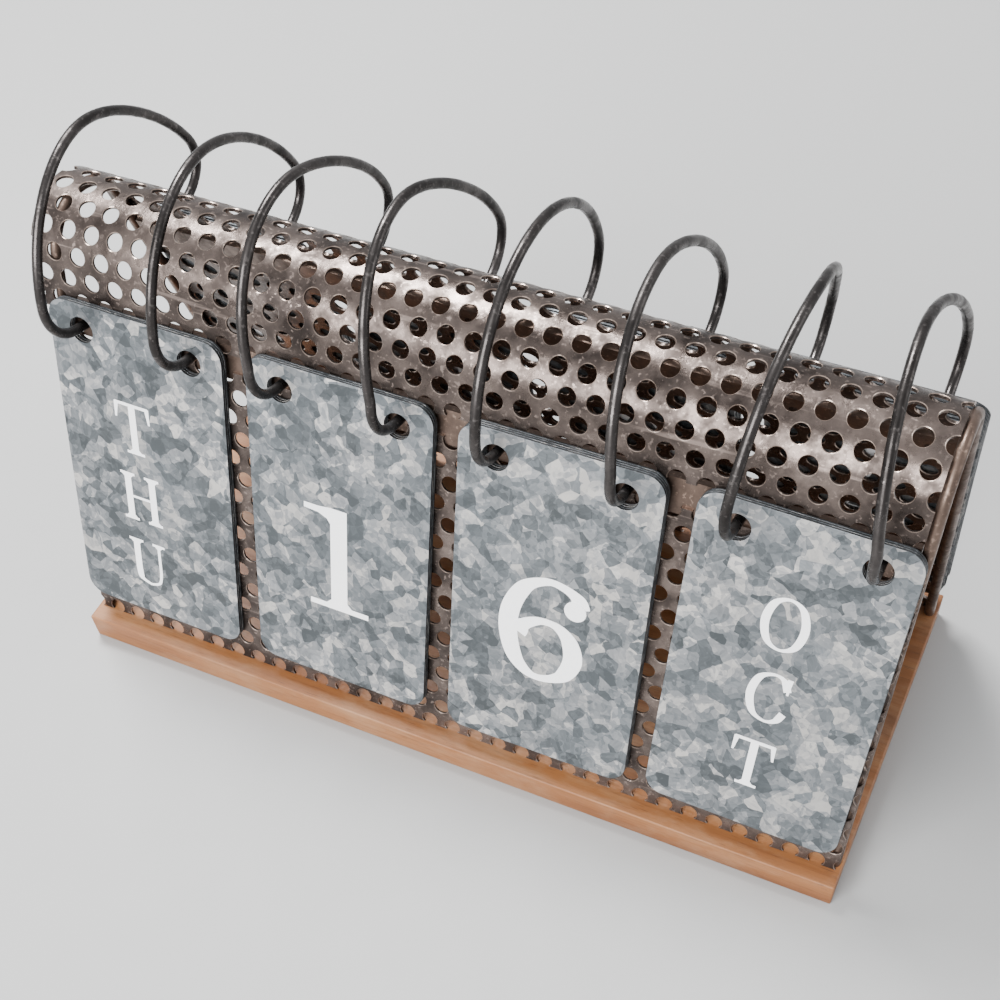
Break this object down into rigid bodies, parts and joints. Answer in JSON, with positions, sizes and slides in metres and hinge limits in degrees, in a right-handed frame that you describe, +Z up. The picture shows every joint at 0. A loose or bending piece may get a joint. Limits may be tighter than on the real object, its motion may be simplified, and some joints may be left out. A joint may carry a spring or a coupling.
{
  "type": "flip desk calendar",
  "caption": "Perpetual desk calendar: a perforated steel hood on a wooden base, with weekday, day and month cards that hang from wire rings and flip over the top.",
  "frame": {"origin": "centre of the base's underside", "axes": "+X along the base towards the month cards, +Z up, -Y is the side that is read"},
  "size_m": [0.3189, 0.1404, 0.1952],
  "materials": {
    "wood": "orange-brown stained wood with open grain, satin",
    "patina_steel": "dark brown-grey patinated perforated sheet, worn light along the edges",
    "brown_steel": "smooth brown patinated bar and rod",
    "ring_steel": "dull grey wire with fine scratches",
    "zinc": "spangled galvanized sheet"
  },
  "bodies": {
    "frame": {"wood_base": "wood", "arch_cover": "patina_steel", "front_panel": "patina_steel", "back_panel": "patina_steel", "front_rail": "brown_steel", "back_rail": "brown_steel", "end_hoop_left": "brown_steel", "end_hoop_right": "brown_steel", "ring_1": "ring_steel", "ring_2": "ring_steel", "ring_3": "ring_steel", "ring_4": "ring_steel", "ring_5": "ring_steel", "ring_6": "ring_steel", "ring_7": "ring_steel", "ring_8": "ring_steel"},
    "weekday_sat": {"weekday_sat": "zinc"},
    "weekday_fri": {"weekday_fri": "zinc"},
    "weekday_thu": {"weekday_thu": "zinc"},
    "tens_3": {"tens_3": "zinc"},
    "tens_2": {"tens_2": "zinc"},
    "tens_1": {"tens_1": "zinc"},
    "units_9": {"units_9": "zinc"},
    "units_8": {"units_8": "zinc"},
    "units_7": {"units_7": "zinc"},
    "units_6": {"units_6": "zinc"},
    "month_dec": {"month_dec": "zinc"},
    "month_nov": {"month_nov": "zinc"},
    "month_oct": {"month_oct": "zinc"},
    "weekday_sun": {"weekday_sun": "zinc"},
    "weekday_mon": {"weekday_mon": "zinc"},
    "weekday_tue": {"weekday_tue": "zinc"},
    "weekday_wed": {"weekday_wed": "zinc"},
    "tens_0": {"tens_0": "zinc"},
    "units_0": {"units_0": "zinc"},
    "units_1": {"units_1": "zinc"},
    "units_2": {"units_2": "zinc"},
    "units_3": {"units_3": "zinc"},
    "units_4": {"units_4": "zinc"},
    "units_5": {"units_5": "zinc"},
    "month_jan": {"month_jan": "zinc"},
    "month_feb": {"month_feb": "zinc"},
    "month_mar": {"month_mar": "zinc"},
    "month_apr": {"month_apr": "zinc"},
    "month_may": {"month_may": "zinc"},
    "month_jun": {"month_jun": "zinc"},
    "month_jul": {"month_jul": "zinc"},
    "month_aug": {"month_aug": "zinc"},
    "month_sep": {"month_sep": "zinc"}
  },
  "joints": [
    {"name": "weekday_sat_swing", "type": "hinge", "parent": "frame", "child": "weekday_sat", "pos_m": [0, -0.0288, 0.15304], "axis": [-1, 0, 0], "range_deg": [0, 15]},
    {"name": "weekday_fri_swing", "type": "hinge", "parent": "weekday_sat", "child": "weekday_fri", "pos_m": [0, -0.0288, 0.15304], "axis": [-1, 0, 0], "range_deg": [0, 15]},
    {"name": "weekday_thu_swing", "type": "hinge", "parent": "weekday_fri", "child": "weekday_thu", "pos_m": [0, -0.0288, 0.15304], "axis": [-1, 0, 0], "range_deg": [0, 55]},
    {"name": "tens_3_swing", "type": "hinge", "parent": "frame", "child": "tens_3", "pos_m": [0, -0.0288, 0.15304], "axis": [-1, 0, 0], "range_deg": [0, 15]},
    {"name": "tens_2_swing", "type": "hinge", "parent": "tens_3", "child": "tens_2", "pos_m": [0, -0.0288, 0.15304], "axis": [-1, 0, 0], "range_deg": [0, 15]},
    {"name": "tens_1_swing", "type": "hinge", "parent": "tens_2", "child": "tens_1", "pos_m": [0, -0.0288, 0.15304], "axis": [-1, 0, 0], "range_deg": [0, 55]},
    {"name": "units_9_swing", "type": "hinge", "parent": "frame", "child": "units_9", "pos_m": [0, -0.0288, 0.15304], "axis": [-1, 0, 0], "range_deg": [0, 10]},
    {"name": "units_8_swing", "type": "hinge", "parent": "units_9", "child": "units_8", "pos_m": [0, -0.0288, 0.15304], "axis": [-1, 0, 0], "range_deg": [0, 10]},
    {"name": "units_7_swing", "type": "hinge", "parent": "units_8", "child": "units_7", "pos_m": [0, -0.0288, 0.15304], "axis": [-1, 0, 0], "range_deg": [0, 10]},
    {"name": "units_6_swing", "type": "hinge", "parent": "units_7", "child": "units_6", "pos_m": [0, -0.0288, 0.15304], "axis": [-1, 0, 0], "range_deg": [0, 55]},
    {"name": "month_dec_swing", "type": "hinge", "parent": "frame", "child": "month_dec", "pos_m": [0, -0.0288, 0.15304], "axis": [-1, 0, 0], "range_deg": [0, 15]},
    {"name": "month_nov_swing", "type": "hinge", "parent": "month_dec", "child": "month_nov", "pos_m": [0, -0.0288, 0.15304], "axis": [-1, 0, 0], "range_deg": [0, 15]},
    {"name": "month_oct_swing", "type": "hinge", "parent": "month_nov", "child": "month_oct", "pos_m": [0, -0.0288, 0.15304], "axis": [-1, 0, 0], "range_deg": [0, 55]},
    {"name": "weekday_sun_swing", "type": "hinge", "parent": "frame", "child": "weekday_sun", "pos_m": [0, 0.02984, 0.14813], "axis": [1, 0, 0], "range_deg": [0, 6]},
    {"name": "weekday_mon_swing", "type": "hinge", "parent": "weekday_sun", "child": "weekday_mon", "pos_m": [0, 0.02984, 0.14813], "axis": [1, 0, 0], "range_deg": [0, 6]},
    {"name": "weekday_tue_swing", "type": "hinge", "parent": "weekday_mon", "child": "weekday_tue", "pos_m": [0, 0.02984, 0.14813], "axis": [1, 0, 0], "range_deg": [0, 6]},
    {"name": "weekday_wed_swing", "type": "hinge", "parent": "weekday_tue", "child": "weekday_wed", "pos_m": [0, 0.02984, 0.14813], "axis": [1, 0, 0], "range_deg": [0, 22]},
    {"name": "tens_0_swing", "type": "hinge", "parent": "frame", "child": "tens_0", "pos_m": [0, 0.02653, 0.14718], "axis": [1, 0, 0], "range_deg": [0, 40]},
    {"name": "units_0_swing", "type": "hinge", "parent": "frame", "child": "units_0", "pos_m": [0, 0.03205, 0.14877], "axis": [1, 0, 0], "range_deg": [0, 4]},
    {"name": "units_1_swing", "type": "hinge", "parent": "units_0", "child": "units_1", "pos_m": [0, 0.03205, 0.14877], "axis": [1, 0, 0], "range_deg": [0, 4]},
    {"name": "units_2_swing", "type": "hinge", "parent": "units_1", "child": "units_2", "pos_m": [0, 0.03205, 0.14877], "axis": [1, 0, 0], "range_deg": [0, 4]},
    {"name": "units_3_swing", "type": "hinge", "parent": "units_2", "child": "units_3", "pos_m": [0, 0.03205, 0.14877], "axis": [1, 0, 0], "range_deg": [0, 4]},
    {"name": "units_4_swing", "type": "hinge", "parent": "units_3", "child": "units_4", "pos_m": [0, 0.03205, 0.14877], "axis": [1, 0, 0], "range_deg": [0, 4]},
    {"name": "units_5_swing", "type": "hinge", "parent": "units_4", "child": "units_5", "pos_m": [0, 0.03205, 0.14877], "axis": [1, 0, 0], "range_deg": [0, 20]},
    {"name": "month_jan_swing", "type": "hinge", "parent": "frame", "child": "month_jan", "pos_m": [0, 0.03537, 0.14972], "axis": [1, 0, 0], "range_deg": [0, 2]},
    {"name": "month_feb_swing", "type": "hinge", "parent": "month_jan", "child": "month_feb", "pos_m": [0, 0.03537, 0.14972], "axis": [1, 0, 0], "range_deg": [0, 2]},
    {"name": "month_mar_swing", "type": "hinge", "parent": "month_feb", "child": "month_mar", "pos_m": [0, 0.03537, 0.14972], "axis": [1, 0, 0], "range_deg": [0, 2]},
    {"name": "month_apr_swing", "type": "hinge", "parent": "month_mar", "child": "month_apr", "pos_m": [0, 0.03537, 0.14972], "axis": [1, 0, 0], "range_deg": [0, 2]},
    {"name": "month_may_swing", "type": "hinge", "parent": "month_apr", "child": "month_may", "pos_m": [0, 0.03537, 0.14972], "axis": [1, 0, 0], "range_deg": [0, 2]},
    {"name": "month_jun_swing", "type": "hinge", "parent": "month_may", "child": "month_jun", "pos_m": [0, 0.03537, 0.14972], "axis": [1, 0, 0], "range_deg": [0, 2]},
    {"name": "month_jul_swing", "type": "hinge", "parent": "month_jun", "child": "month_jul", "pos_m": [0, 0.03537, 0.14972], "axis": [1, 0, 0], "range_deg": [0, 2]},
    {"name": "month_aug_swing", "type": "hinge", "parent": "month_jul", "child": "month_aug", "pos_m": [0, 0.03537, 0.14972], "axis": [1, 0, 0], "range_deg": [0, 2]},
    {"name": "month_sep_swing", "type": "hinge", "parent": "month_aug", "child": "month_sep", "pos_m": [0, 0.03537, 0.14972], "axis": [1, 0, 0], "range_deg": [0, 24]}
  ]
}
